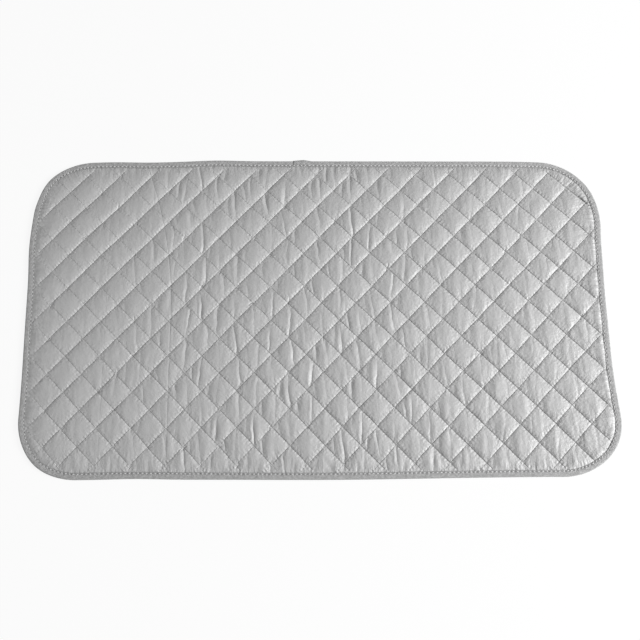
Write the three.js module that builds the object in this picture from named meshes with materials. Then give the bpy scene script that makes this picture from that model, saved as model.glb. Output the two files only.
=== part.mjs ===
// Quilted ironing pad: a heat-reflecting cover, wadding and backing, held together by two crossing
// sets of quilting seams, with the cut edge bound in a folded tape.
// Millimetres, +Z up. The origin is in the middle of the pad, on the surface that it lies on.
// +X runs along the pad's length, +Y across it.
import * as THREE from "three";
import { mergeVertices } from "three/addons/utils/BufferGeometryUtils.js";

// Outline
const PAD_LENGTH = 840;
const PAD_WIDTH = 480;
const CORNER_RADIUS = 86;
const CORNER_STEPS = 6;

// Layers, from the table up. The wadding is pressed thin in the bound rim and under the seams.
const BACKING_THICKNESS = 0.4;
const WADDING_AT_RIM = 0.9;
const COVER_THICKNESS = 0.4;
const PUFF_HEIGHT = 4;
const LAYER_GAP = 0.2;

// Quilting: rising seams run from near left to far right, falling seams from far left to near right.
// The offsets are the distances of the first seam of each set from the origin.
const RISING_ANGLE = 46.9;
const RISING_PITCH = 35.8;
const RISING_OFFSET = 3.8;
const FALLING_ANGLE = -45.6;
const FALLING_PITCH = 35.4;
const FALLING_OFFSET = 14.5;
const SMALLEST_PUFF_SHARE = 0.87;

// Sewing thread
const THREAD_THICKNESS = 0.4;
const SEAM_END_GAP = 0.6;
const SHORTEST_SEAM = 30;

// Edge binding: one tape folded over the cut edge, its two ends lapped on the far side
const TAPE_THICKNESS = 0.5;
const TAPE_WIDTH = 9.5;
const TAPE_FOLD_STEPS = 4;
const EDGE_SEAM_MARGIN = 1.6;
const LAP_X = -21;
const LAP_LENGTH = 20;
const LAP_RAMP = 4;

// The backing steps down from the tape's lower flap to the table over this distance
const BACKING_STEP_RUN = 4;

// Heights that follow from the layers
const RIM_LIFT = TAPE_THICKNESS + LAYER_GAP;
const BACKING_TOP = BACKING_THICKNESS;
const WADDING_BOTTOM = BACKING_TOP + LAYER_GAP;
const WADDING_SEAM_TOP = WADDING_BOTTOM + RIM_LIFT + WADDING_AT_RIM;
const COVER_SEAM_BOTTOM = WADDING_SEAM_TOP + LAYER_GAP;
const COVER_SEAM_TOP = COVER_SEAM_BOTTOM + COVER_THICKNESS;
const RIM_TOP = COVER_SEAM_TOP + LAYER_GAP + TAPE_THICKNESS;

// Distances in from the pad's edge
const FOLD_RADIUS = RIM_TOP / 2;
const CUT_EDGE_INSET = FOLD_RADIUS;
const QUILT_INSET = TAPE_WIDTH + LAYER_GAP;
const BACKING_STEP_INSET = QUILT_INSET + BACKING_STEP_RUN;
const SEAM_END_INSET = TAPE_WIDTH + SEAM_END_GAP;
const EDGE_SEAM_INSET = TAPE_WIDTH - EDGE_SEAM_MARGIN;

// Points round the pad's edge, anticlockwise seen from above. Each has its place on the edge, the
// direction that points out of the pad there, and lap: 1 where the tape lies double, else 0.
function makeEdgeStations() {
  const stations = [];
  const addCorner = (sideX, sideY, startAngle) => {
    const centre = new THREE.Vector2(
      sideX * (PAD_LENGTH / 2 - CORNER_RADIUS),
      sideY * (PAD_WIDTH / 2 - CORNER_RADIUS),
    );
    for (let step = 0; step <= CORNER_STEPS; step++) {
      const angle = startAngle + ((Math.PI / 2) * step) / CORNER_STEPS;
      const outward = new THREE.Vector2(Math.cos(angle), Math.sin(angle));
      stations.push({ place: centre.clone().addScaledVector(outward, CORNER_RADIUS), outward, lap: 0 });
    }
  };
  const addLapPoint = (alongX, lap) => {
    const place = new THREE.Vector2(LAP_X + alongX, PAD_WIDTH / 2);
    stations.push({ place, outward: new THREE.Vector2(0, 1), lap });
  };
  addCorner(1, 1, 0);
  addLapPoint(LAP_LENGTH / 2 + LAP_RAMP, 0);
  addLapPoint(LAP_LENGTH / 2, 1);
  addLapPoint(-LAP_LENGTH / 2, 1);
  addLapPoint(-LAP_LENGTH / 2 - LAP_RAMP, 0);
  addCorner(-1, 1, Math.PI / 2);
  addCorner(-1, -1, Math.PI);
  addCorner(1, -1, 1.5 * Math.PI);
  return stations;
}

const edgeStations = makeEdgeStations();

function pointInset(station, inset) {
  return station.place.clone().addScaledVector(station.outward, -inset);
}

function outline(inset) {
  return edgeStations.map((station) => pointInset(station, inset));
}

function raised(point, z) {
  return new THREE.Vector3(point.x, point.y, z);
}

// A closed solid from triangles of Vector3, with its shared vertices merged
function geometryFrom(triangles) {
  const positions = triangles.flat().flatMap((corner) => corner.toArray());
  const loose = new THREE.BufferGeometry();
  loose.setAttribute("position", new THREE.Float32BufferAttribute(positions, 3));
  const solid = mergeVertices(loose);
  solid.computeVertexNormals();
  return solid;
}

function signedArea(points) {
  return THREE.ShapeUtils.area(points);
}

// Triangles over a flat region, all facing up
function triangulate(contour, holes) {
  const corners = [contour, ...holes].flat();
  const faces = THREE.ShapeUtils.triangulateShape(contour, holes);
  const triangles = faces.map((indices) => indices.map((index) => corners[index]));
  const facing = triangles.reduce((sum, triangle) => sum + signedArea(triangle), 0);
  return facing < 0 ? triangles.map((triangle) => triangle.reverse()) : triangles;
}

// Quilting: the seams are numbered lines, and four neighbouring seams enclose one diamond

function seamSet(angleDegrees, pitch, offset) {
  const angle = THREE.MathUtils.degToRad(angleDegrees);
  const along = new THREE.Vector2(Math.cos(angle), Math.sin(angle));
  const across = new THREE.Vector2(-along.y, along.x);
  const distance = (number) => offset + number * pitch;
  return { angle, along, across, distance };
}

const rising = seamSet(RISING_ANGLE, RISING_PITCH, RISING_OFFSET);
const falling = seamSet(FALLING_ANGLE, FALLING_PITCH, FALLING_OFFSET);

// Numbers of the seams of one set that can meet the pad
function seamNumbers(set) {
  const reach = outline(0).map((point) => point.dot(set.across));
  const pitch = set.distance(1) - set.distance(0);
  const first = Math.floor((Math.min(...reach) - set.distance(0)) / pitch);
  const last = Math.ceil((Math.max(...reach) - set.distance(0)) / pitch);
  return Array.from({ length: last - first + 1 }, (_, step) => first + step);
}

function crossing(risingNumber, fallingNumber) {
  const a = rising.distance(risingNumber);
  const b = falling.distance(fallingNumber);
  const turn = rising.across.cross(falling.across);
  const x = (a * falling.across.y - b * rising.across.y) / turn;
  const y = (b * rising.across.x - a * falling.across.x) / turn;
  return new THREE.Vector2(x, y);
}

// The part of a convex polygon that lies inside another convex polygon, both anticlockwise
function clip(polygon, window) {
  let kept = polygon;
  window.forEach((start, index) => {
    const edge = window[(index + 1) % window.length].clone().sub(start);
    const side = (point) => edge.cross(point.clone().sub(start));
    const passed = [];
    kept.forEach((point, at) => {
      const next = kept[(at + 1) % kept.length];
      const here = side(point);
      const there = side(next);
      if (here >= 0) passed.push(point);
      if (here * there < 0) passed.push(point.clone().lerp(next, here / (here - there)));
    });
    kept = passed;
  });
  return kept;
}

function centroid(polygon) {
  const sum = new THREE.Vector2();
  let doubleArea = 0;
  polygon.forEach((point, index) => {
    const next = polygon[(index + 1) % polygon.length];
    const weight = point.cross(next);
    doubleArea += weight;
    sum.addScaledVector(point.clone().add(next), weight);
  });
  return sum.divideScalar(3 * doubleArea);
}

// Diamonds that puff up, cut to the edge of the tape. Smaller scraps beside the tape stay flat.
function makePuffs() {
  const window = outline(QUILT_INSET);
  const puffs = [];
  for (const i of seamNumbers(rising)) {
    for (const j of seamNumbers(falling)) {
      const diamond = [crossing(i, j), crossing(i, j + 1), crossing(i + 1, j + 1), crossing(i + 1, j)];
      if (signedArea(diamond) < 0) diamond.reverse();
      const inside = clip(diamond, window);
      if (inside.length < 3) continue;
      const share = signedArea(inside) / signedArea(diamond);
      if (share >= SMALLEST_PUFF_SHARE) puffs.push({ corners: inside, middle: centroid(inside), share });
    }
  }
  return puffs;
}

const puffs = makePuffs();

// Loops along the outer border of all puffs together: the sides that only one puff has
function puffBorders() {
  const name = (point) => `${point.x.toFixed(3)},${point.y.toFixed(3)}`;
  const sides = new Map();
  for (const { corners } of puffs) {
    corners.forEach((from, index) => {
      const to = corners[(index + 1) % corners.length];
      const backwards = `${name(to)} ${name(from)}`;
      if (!sides.delete(backwards)) sides.set(`${name(from)} ${name(to)}`, { from, to });
    });
  }
  const nextFrom = new Map([...sides.values()].map(({ from, to }) => [name(from), to]));
  const loops = [];
  while (nextFrom.size > 0) {
    const loop = [];
    let at = nextFrom.keys().next().value;
    while (nextFrom.has(at)) {
      const to = nextFrom.get(at);
      nextFrom.delete(at);
      loop.push(to);
      at = name(to);
    }
    loops.push(loop);
  }
  return loops;
}

const flatBorder = triangulate(outline(CUT_EDGE_INSET), puffBorders());

// Quilted face: flat at seamHeight along the seams and the rim, with a crown on each puff
function quiltedFace(seamHeight) {
  const triangles = flatBorder.map((corners) => corners.map((point) => raised(point, seamHeight)));
  for (const { corners, middle, share } of puffs) {
    const crown = raised(middle, seamHeight + PUFF_HEIGHT * share);
    corners.forEach((point, index) => {
      const next = corners[(index + 1) % corners.length];
      triangles.push([raised(point, seamHeight), raised(next, seamHeight), crown]);
    });
  }
  return { triangles, rim: outline(CUT_EDGE_INSET).map((point) => raised(point, seamHeight)) };
}

// Smooth face that lies at height on the table and climbs over the tape's lower flap at the rim
function steppedFace(height) {
  const rings = [
    outline(CUT_EDGE_INSET).map((point) => raised(point, height + RIM_LIFT)),
    outline(QUILT_INSET).map((point) => raised(point, height + RIM_LIFT)),
    outline(BACKING_STEP_INSET).map((point) => raised(point, height)),
  ];
  const middle = triangulate(outline(BACKING_STEP_INSET), []);
  const triangles = middle.map((corners) => corners.map((point) => raised(point, height)));
  for (const [outer, inner] of [rings.slice(0, 2), rings.slice(1, 3)]) {
    outer.forEach((point, index) => {
      const next = (index + 1) % outer.length;
      triangles.push([point, outer[next], inner[next]], [point, inner[next], inner[index]]);
    });
  }
  return { triangles, rim: rings[0] };
}

// A layer: the solid between two faces that share the same cut edge
function layerBetween(upper, lower) {
  const triangles = [...upper.triangles];
  for (const corners of lower.triangles) triangles.push([...corners].reverse());
  upper.rim.forEach((point, index) => {
    const next = (index + 1) % upper.rim.length;
    triangles.push([lower.rim[index], lower.rim[next], upper.rim[next]]);
    triangles.push([lower.rim[index], upper.rim[next], point]);
  });
  return geometryFrom(triangles);
}

// A closed ring round the pad. sectionAt gives its section at a station: points of distance in from
// the edge (x) and height (y), up the outer side first.
function ringSolid(sectionAt) {
  const sections = edgeStations.map((station) =>
    sectionAt(station).map((corner) => raised(pointInset(station, corner.x), corner.y)),
  );
  const triangles = [];
  sections.forEach((section, index) => {
    const following = sections[(index + 1) % sections.length];
    section.forEach((corner, at) => {
      const up = (at + 1) % section.length;
      triangles.push([corner, following[at], following[up]], [corner, following[up], section[up]]);
    });
  });
  return geometryFrom(triangles);
}

// Half-round fold of the tape, from the lower flap to the upper one
function foldArc(reach, radius) {
  return Array.from({ length: TAPE_FOLD_STEPS + 1 }, (_, step) => {
    const angle = Math.PI * (step / TAPE_FOLD_STEPS - 0.5);
    return new THREE.Vector2(FOLD_RADIUS - reach * Math.cos(angle), FOLD_RADIUS + radius * Math.sin(angle));
  });
}

// Folded tape: a narrow U open towards the middle of the pad, thicker where its ends lap
function tapeSection({ lap }) {
  const stretch = (RIM_TOP + lap * TAPE_THICKNESS) / RIM_TOP;
  const outside = foldArc(FOLD_RADIUS + lap * TAPE_THICKNESS, FOLD_RADIUS);
  outside.push(new THREE.Vector2(TAPE_WIDTH, RIM_TOP));
  outside.forEach((corner) => {
    corner.y *= stretch;
  });
  const hollow = foldArc(FOLD_RADIUS - TAPE_THICKNESS, FOLD_RADIUS - TAPE_THICKNESS);
  hollow.push(new THREE.Vector2(TAPE_WIDTH, RIM_TOP - TAPE_THICKNESS));
  hollow.unshift(new THREE.Vector2(TAPE_WIDTH, TAPE_THICKNESS));
  return [...outside, ...hollow.reverse(), new THREE.Vector2(TAPE_WIDTH, 0)];
}

// Thread of the seam that holds the tape, lying on the upper flap near its inner edge
function edgeSeamSection({ lap }) {
  const bottom = RIM_TOP + lap * TAPE_THICKNESS + LAYER_GAP;
  const outer = EDGE_SEAM_INSET - THREAD_THICKNESS / 2;
  const inner = EDGE_SEAM_INSET + THREAD_THICKNESS / 2;
  return [
    new THREE.Vector2(outer, bottom),
    new THREE.Vector2(outer, bottom + THREAD_THICKNESS),
    new THREE.Vector2(inner, bottom + THREAD_THICKNESS),
    new THREE.Vector2(inner, bottom),
  ];
}

// The stretch of one seam that lies between the edges of the tape, as its two ends, or null
function seamStretch(set, number) {
  const window = outline(SEAM_END_INSET);
  const start = set.across.clone().multiplyScalar(set.distance(number));
  let from = -PAD_LENGTH;
  let to = PAD_LENGTH;
  window.forEach((corner, index) => {
    const edge = window[(index + 1) % window.length].clone().sub(corner);
    const slope = edge.cross(set.along);
    const meets = -edge.cross(start.clone().sub(corner)) / slope;
    if (slope > 0) from = Math.max(from, meets);
    else to = Math.min(to, meets);
  });
  if (to - from < SHORTEST_SEAM) return null;
  return [from, to].map((distance) => start.clone().addScaledVector(set.along, distance));
}

// Materials
const aluminisedCotton = new THREE.MeshStandardMaterial({ color: 0xb5b6b6, roughness: 0.42, metalness: 0.35 });
const polyesterWadding = new THREE.MeshStandardMaterial({ color: 0xeceae4, roughness: 0.95, metalness: 0 });
const plainBacking = new THREE.MeshStandardMaterial({ color: 0xd9d7d2, roughness: 0.9, metalness: 0 });
const wovenTape = new THREE.MeshStandardMaterial({ color: 0x9a9b9c, roughness: 0.75, metalness: 0 });
const greyThread = new THREE.MeshStandardMaterial({ color: 0x8d8e90, roughness: 0.7, metalness: 0 });

const ironingPad = new THREE.Group();

function addPiece(name, geometry, material) {
  const piece = new THREE.Mesh(geometry, material);
  piece.name = name;
  ironingPad.add(piece);
  return piece;
}

addPiece("backing", layerBetween(steppedFace(BACKING_TOP), steppedFace(0)), plainBacking);
addPiece("wadding", layerBetween(quiltedFace(WADDING_SEAM_TOP), steppedFace(WADDING_BOTTOM)), polyesterWadding);
addPiece("top_cover", layerBetween(quiltedFace(COVER_SEAM_TOP), quiltedFace(COVER_SEAM_BOTTOM)), aluminisedCotton);
addPiece("edge_binding", ringSolid(tapeSection), wovenTape);
addPiece("edge_seam", ringSolid(edgeSeamSection), greyThread);

// One thread to each quilting seam. The falling seams are sewn second and cross over the rising ones.
function addQuiltingSeams(name, set, bottom) {
  const stretches = seamNumbers(set).map((number) => seamStretch(set, number));
  stretches.filter(Boolean).forEach(([from, to], index) => {
    const thread = new THREE.BoxGeometry(from.distanceTo(to), THREAD_THICKNESS, THREAD_THICKNESS);
    const seam = addPiece(`${name}_${String(index + 1).padStart(2, "0")}`, thread, greyThread);
    seam.position.copy(raised(from.clone().lerp(to, 0.5), bottom + THREAD_THICKNESS / 2));
    seam.rotation.z = set.angle;
  });
}

const RISING_SEAM_BOTTOM = COVER_SEAM_TOP + LAYER_GAP;
const FALLING_SEAM_BOTTOM = RISING_SEAM_BOTTOM + THREAD_THICKNESS + LAYER_GAP;
addQuiltingSeams("rising_seam", rising, RISING_SEAM_BOTTOM);
addQuiltingSeams("falling_seam", falling, FALLING_SEAM_BOTTOM);

export default ironingPad;
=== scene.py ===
# Quilted ironing pad lying flat, quilted face up. Metres, +Z up, origin under the middle of the pad.
import math

import bpy
import numpy as np
from mathutils import Matrix, Vector, noise


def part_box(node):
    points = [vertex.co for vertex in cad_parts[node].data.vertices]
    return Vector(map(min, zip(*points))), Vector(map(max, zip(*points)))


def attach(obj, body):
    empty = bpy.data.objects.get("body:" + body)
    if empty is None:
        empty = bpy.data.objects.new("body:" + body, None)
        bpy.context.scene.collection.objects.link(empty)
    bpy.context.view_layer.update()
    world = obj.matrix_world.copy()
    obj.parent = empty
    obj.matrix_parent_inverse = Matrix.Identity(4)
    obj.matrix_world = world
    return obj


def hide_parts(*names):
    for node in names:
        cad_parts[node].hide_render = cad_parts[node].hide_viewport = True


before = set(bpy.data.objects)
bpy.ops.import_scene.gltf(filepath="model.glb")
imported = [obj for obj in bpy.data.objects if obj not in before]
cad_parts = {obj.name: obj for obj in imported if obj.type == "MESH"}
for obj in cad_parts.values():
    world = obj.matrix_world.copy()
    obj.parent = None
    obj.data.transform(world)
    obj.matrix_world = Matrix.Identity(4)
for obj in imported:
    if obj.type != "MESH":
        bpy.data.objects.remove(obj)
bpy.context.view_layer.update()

# Backing
# A plain-woven off-white cotton cloth that closes the underside. It lies on the table in the
# middle of each diamond, is drawn up along the quilting seams, and at the rim it climbs onto the
# lower flap of the binding tape.
mm = 0.001
TINY = 1e-9
CORNER_RADIUS = 86 * mm
TAPE_WIDTH = 9.5 * mm
backing_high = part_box("backing")[1]
tape_low, tape_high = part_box("edge_binding")
half_size = np.array([tape_high.x, -tape_low.y])
CUT_EDGE_INSET = half_size[0] - backing_high.x


def read_seams(prefix, slope):
    """Direction across one set of quilting seams, with its first distance and pitch, from the CAD."""
    boxes = [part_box(node) for node in sorted(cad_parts) if node.startswith(prefix)]
    spans = [high - low for low, high in boxes]
    longest = max(spans, key=lambda span: span.x)
    angle = slope * math.atan2(longest.y, longest.x)
    across = np.array([-math.sin(angle), math.cos(angle)])
    distances = [float(np.dot(across, ((low + high) / 2).xy)) for low, high in boxes]
    pitch = (distances[-1] - distances[0]) / (len(distances) - 1)
    numbers = np.arange(len(distances)) - round(-distances[0] / pitch)
    start = float(np.mean(np.array(distances) - numbers * pitch))
    return {"across": across, "start": start, "pitch": pitch, "numbers": numbers}


rising = read_seams("rising_seam", 1)
falling = read_seams("falling_seam", -1)


def wander(points, length_x, length_y, layer):
    """Smooth noise from -1 to 1 whose waves are about length_x by length_y."""
    places = zip(points[:, 0] / length_x, points[:, 1] / length_y)
    return np.array([noise.noise((x, y, layer)) for x, y in places])


# Where the sewn edge stands out or in from the CAD's outline: x, y, reach and outward shift in mm.
EDGE_BULGES = (
    (412, -190, 52, 4.6),
    (25, -240, 160, 2),
    (-255, -240, 45, -1.2),
    (-390, -220, 32, 2),
    (-420, -120, 95, -1.9),
    (-420, 100, 38, 2.5),
    (-416, 178, 25, -2.4),
    (-357, 238, 45, -3),
    (-255, 240, 60, -2.4),
    (-150, 240, 35, 1.2),
    (372, 228, 55, -2.1),
    (420, 138, 24, 2.2),
    (420, 10, 60, -2),
    (420, -75, 45, -1.8),
)


def edge_bulge(points):
    """How far the sewn edge stands out from the CAD's outline near each point."""
    shift = np.zeros(len(points))
    for x, y, reach, outward in EDGE_BULGES:
        away = np.hypot(points[:, 0] / mm - x, points[:, 1] / mm - y)
        shift += outward * mm * np.exp(-((away / reach) ** 2))
    return shift


def edge_depth(points):
    """How far each point lies in from the pad's edge, and the direction out of the pad there."""
    past = np.abs(points) - (half_size - CORNER_RADIUS)
    beyond = np.maximum(past, 0)
    reach = np.linalg.norm(beyond, axis=1)
    depth = CORNER_RADIUS - reach - np.minimum(past.max(axis=1), 0) + edge_bulge(points)
    nearest_side = (past == past.max(axis=1, keepdims=True)).astype(float)
    outward = np.where(reach[:, None] > 0, beyond / np.maximum(reach, TINY)[:, None], nearest_side)
    return depth, outward * np.sign(points)


def tape_distance(points):
    """How far each point lies in from the inner edge of the tape."""
    return edge_depth(points)[0] - TAPE_WIDTH


# How far the seams bow from the CAD's straight lines, in mm: shares of 1, x, xx, y, xy and yy,
# with x and y counted in half lengths of the pad.
RISING_BOW = (2.8, -0.4, -4.2, 0, 0, -1.9)
FALLING_BOW = (-2.7, 1, 5.6, -0.9, 4.2, -13)
SEAM_WANDER = 1.2 * mm
SEAM_WANDER_LENGTH = 90 * mm
SEAM_JITTER = 0.4 * mm
SEAM_JITTER_LENGTH = 14 * mm
SEAM_LAYERS = (3.5, 8.5)
JITTER_LAYER = 10


def sewn_place(rising_number, falling_number):
    """Where two seam numbers cross on the sewn pad: the CAD's straight seams, bowed and wandering."""
    across = np.array([rising["across"], falling["across"]])
    distance = np.stack(
        [
            rising["start"] + rising_number * rising["pitch"],
            falling["start"] + falling_number * falling["pitch"],
        ]
    )
    straight = np.linalg.solve(across, distance).T
    x, y = straight.T / half_size[0]
    terms = np.stack([np.ones(len(x)), x, x**2, y, x * y, y**2])
    drift = np.array([RISING_BOW, FALLING_BOW]) @ terms * mm
    for row, layer in enumerate(SEAM_LAYERS):
        slow = wander(straight, SEAM_WANDER_LENGTH, SEAM_WANDER_LENGTH, layer)
        quick = wander(straight, SEAM_JITTER_LENGTH, SEAM_JITTER_LENGTH, layer + JITTER_LAYER)
        drift[row] += SEAM_WANDER * slow + SEAM_JITTER * quick
    return np.linalg.solve(across, distance + drift).T


def quilted_grid(shares):
    """A mesh of squares along the seams, cut to the layers' edge: points, seam numbers, faces.

    The shares, from 0 to less than 1, say where the rows of points lie between two seams."""
    spread = [
        math.ceil(float(np.abs(seams["across"]) @ half_size) / seams["pitch"]) + 1
        for seams in (rising, falling)
    ]
    numbers = [np.append(np.add.outer(np.arange(-count, count), shares), count) for count in spread]
    rising_number, falling_number = (grid.ravel() for grid in np.meshgrid(*numbers, indexing="ij"))
    points = sewn_place(rising_number, falling_number)
    row = len(numbers[1])
    first = (np.arange(len(numbers[0]) - 1)[:, None] * row + np.arange(row - 1)).ravel()
    faces = np.stack([first, first + 1, first + row + 1, first + row], axis=1)
    kept = edge_depth(points[faces].mean(axis=1))[0] > CUT_EDGE_INSET
    used, faces = np.unique(faces[kept], return_inverse=True)
    faces = faces.reshape(-1, 4)
    points = points[used]
    border = np.bincount(faces.ravel(), minlength=len(used)) < 4
    depth, outward = edge_depth(points[border])
    points[border] += outward * (depth - CUT_EDGE_INSET)[:, None]
    return points, rising_number[used], falling_number[used], faces


def ease(share):
    """Smooth step from 0 to 1."""
    share = np.clip(share, 0, 1)
    return share * share * (3 - 2 * share)


def seam_distance(rising_number, falling_number):
    """Distance to the nearest quilting seam."""
    to_rising = np.abs(rising_number - np.round(rising_number)) * rising["pitch"]
    to_falling = np.abs(falling_number - np.round(falling_number)) * falling["pitch"]
    return np.minimum(to_rising, to_falling)


def make_piece(name, points, faces, material):
    """A smooth-shaded mesh object of these points and faces."""
    mesh = bpy.data.meshes.new(name)
    mesh.from_pydata([tuple(point) for point in points], [], [tuple(face) for face in faces])
    mesh.polygons.foreach_set("use_smooth", [True] * len(mesh.polygons))
    mesh.materials.append(material)
    piece = bpy.data.objects.new(name, mesh)
    bpy.context.scene.collection.objects.link(piece)
    return piece


class Socket:
    """One socket of a node tree. Operators on it add Math nodes."""

    def __init__(self, tree, socket):
        self.tree = tree
        self.socket = socket

    def node(self, kind, sockets, output=0, **settings):
        """Adds a node: its settings first, then the values or links of its sockets."""
        made = self.tree.nodes.new(kind)
        for name, value in settings.items():
            setattr(made, name, value)
        for name, value in sockets.items():
            if isinstance(value, Socket):
                self.tree.links.new(value.socket, made.inputs[name])
            else:
                made.inputs[name].default_value = value
        return Socket(self.tree, made.outputs[output] if made.outputs else None)

    def math(self, operation, first, second=0.0):
        return self.node("ShaderNodeMath", {0: first, 1: second}, operation=operation)

    def __add__(self, other):
        return self.math("ADD", self, other)

    def __sub__(self, other):
        return self.math("SUBTRACT", self, other)

    def __rsub__(self, other):
        return self.math("SUBTRACT", other, self)

    def __mul__(self, other):
        return self.math("MULTIPLY", self, other)

    __radd__ = __add__
    __rmul__ = __mul__


def grey(value):
    """A neutral colour."""
    return (value, value, value, 1)


def new_material(name, coordinates):
    """An empty material, with the Texture Coordinate output that its patterns read."""
    material = bpy.data.materials.new(name)
    material.use_nodes = True
    material.node_tree.nodes.clear()
    start = Socket(material.node_tree, None)
    return material, start.node("ShaderNodeTexCoord", {}, output=coordinates)


def x_and_y(vector):
    """The first two parts of a vector."""
    return [vector.node("ShaderNodeSeparateXYZ", {"Vector": vector}, output=axis) for axis in "XY"]


def cloth_noise(place, size, stretch=(1, 1, 1), detail=2.0):
    """Noise from 0 to 1 with patches of about size, drawn out by stretch along each axis."""
    scale = [1 / (size * factor) for factor in stretch]
    spread = place.node("ShaderNodeMapping", {"Vector": place, "Scale": scale})
    return place.node("ShaderNodeTexNoise", {"Vector": spread, "Scale": 1.0, "Detail": detail})


def plain_weave(place, thread):
    """Height from -1 to 1 of a plain weave with that thread spacing."""
    x, y = x_and_y(place)
    turn = math.pi / thread
    return place.math("SINE", x * turn) * place.math("SINE", y * turn)


def bumped(height, distance=1.0, below=None):
    """A normal raised by height times distance, on top of another one."""
    sockets = {"Height": height, "Distance": distance, "Strength": 1.0}
    if below is not None:
        sockets["Normal"] = below
    return height.node("ShaderNodeBump", sockets)


def mixed(share, first, second):
    """A colour between two others."""
    return share.node("ShaderNodeMix", {0: share, 6: first, 7: second}, output=2, data_type="RGBA")


def close_material(place, colour, roughness, normal, **fixed):
    """Adds the surface shader and the output."""
    sockets = {"Base Color": colour, "Roughness": roughness, "Normal": normal, **fixed}
    surface = place.node("ShaderNodeBsdfPrincipled", sockets)
    place.node("ShaderNodeOutputMaterial", {"Surface": surface})


SLUB_SIZE = 4 * mm
SLUB_STRETCH = (1, 8, 1)
SLUB_BUMP = 0.15 * mm
SLUB_ROUGHNESS = 0.15
BACKING_THREAD = 0.9 * mm
BACKING_WEAVE_BUMP = 0.06 * mm
BACKING_COLOURS = (0.62, 0.61, 0.57, 1), (0.72, 0.71, 0.67, 1)
BACKING_ROUGHNESS = 0.8
backing_cotton, place = new_material("backing_cotton", "Object")
slubs = cloth_noise(place, SLUB_SIZE, SLUB_STRETCH)
weave = bumped(plain_weave(place, BACKING_THREAD), BACKING_WEAVE_BUMP)
close_material(
    place,
    mixed(slubs, *BACKING_COLOURS),
    BACKING_ROUGHNESS + slubs * SLUB_ROUGHNESS,
    bumped(slubs, SLUB_BUMP, below=weave),
)

BACKING_STEPS = 7
BACKING_CLOTH = 0.4 * mm
SEAM_DRAWN_UP = 0.75 * mm
SEAM_DRAW_REACH = 6 * mm
RIM_STEP_RUN = 4 * mm
RIM_LIFT = 0.7 * mm


def backing_height(points, rising_number, falling_number):
    """Height of the backing's underside over the table."""
    near_seam = 1 - ease(seam_distance(rising_number, falling_number) / SEAM_DRAW_REACH)
    at_rim = 1 - ease(tape_distance(points) / RIM_STEP_RUN)
    return np.maximum(near_seam * SEAM_DRAWN_UP, at_rim * RIM_LIFT)


points, rising_number, falling_number, faces = quilted_grid(np.arange(BACKING_STEPS) / BACKING_STEPS)
height = backing_height(points, rising_number, falling_number)
backing = make_piece("backing_cloth", np.column_stack([points, height]), faces, backing_cotton)
thicken = backing.modifiers.new("cloth", "SOLIDIFY")
thicken.thickness = BACKING_CLOTH
thicken.offset = 1
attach(backing, "root")
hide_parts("backing")

# Top cover
# Cotton with a thin silver-grey coating that throws the heat back. It is sewn down along the
# quilting seams, and the wadding puffs it up in between. There is a little more cloth than room
# along the pad, so it pleats across the diamonds, and gathers at crossings and along the tape.
VALLEY_HEIGHT = 1.9 * mm
VALLEY_WAVE = 0.25 * mm
VALLEY_WAVE_LENGTH = 9 * mm
VALLEY_LAYER = 61.5
RIM_HEIGHT = 2.4 * mm
RIGHT_RIM_HIGHER = 0.55 * mm
RIM_RUN = 12 * mm
RIGHT_SIDE_START = 0.85
RIGHT_SIDE_RUN = 0.1


def at_right_side(points):
    """1 along the right side of the pad, 0 on the rest."""
    return ease((points[:, 0] / half_size[0] - RIGHT_SIDE_START) / RIGHT_SIDE_RUN)


def valley_height(points):
    """Height of the cover under its tightest seams: pressed low on the pad, and higher at the rim."""
    rim = RIM_HEIGHT + RIGHT_RIM_HIGHER * at_right_side(points)
    base = rim - (rim - VALLEY_HEIGHT) * ease(tape_distance(points) / RIM_RUN)
    return base + VALLEY_WAVE * wander(points, VALLEY_WAVE_LENGTH, VALLEY_WAVE_LENGTH, VALLEY_LAYER)


def by_place(shares, x, y):
    """A value that changes evenly over the pad, with x and y counted in half lengths of the pad."""
    middle, along_x, along_y = shares
    return middle + along_x * x + along_y * y


# How hard each set of seams pulls the cover down, by place.
RISING_PULL = (0.73, 0.02, 0.38)
FALLING_PULL = (0.6, 0.42, -0.5)
LEAST_PULL = 0.08


def seam_pulls(points):
    """How hard the rising and the falling seams pull the cover down, from 0 to 1."""
    x, y = points.T / half_size[0]
    return [np.clip(by_place(pull, x, y), LEAST_PULL, 1) for pull in (RISING_PULL, FALLING_PULL)]


MOST_SEAMS = 40
CHANCE_SEED = 11
chance = np.random.default_rng(CHANCE_SEED)


def per_diamond(low, high):
    """A table with a chance value for each diamond, or for each crossing."""
    return chance.uniform(low, high, (MOST_SEAMS, MOST_SEAMS))


def of_cell(table, rising_number, falling_number):
    """Each point's entry in such a table."""
    row = rising_number.astype(int) + MOST_SEAMS // 2
    column = falling_number.astype(int) + MOST_SEAMS // 2
    return table[row, column]


def place_table(shift):
    """Such a table with the place of each crossing, shifted by a share of the pitch both ways."""
    numbers = np.arange(MOST_SEAMS) - MOST_SEAMS // 2 + shift
    grids = np.meshgrid(numbers, numbers, indexing="ij")
    return sewn_place(*(grid.ravel() for grid in grids)).reshape(MOST_SEAMS, MOST_SEAMS, 2)


CROSSINGS = place_table(0.0)
DIAMOND_MIDDLES = place_table(0.5)
DOME_HEIGHT = 3.35 * mm
DOME_LOFT = per_diamond(0.88, 1.1)
DOME_SKEWS = per_diamond(0.85, 1.18), per_diamond(0.85, 1.18)
FAR_DOMES_LEAN = 0.2
FAR_LEAN_START = -0.15
FAR_LEAN_RUN = 0.4
CREASE_RUN = 0.45 * mm
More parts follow.
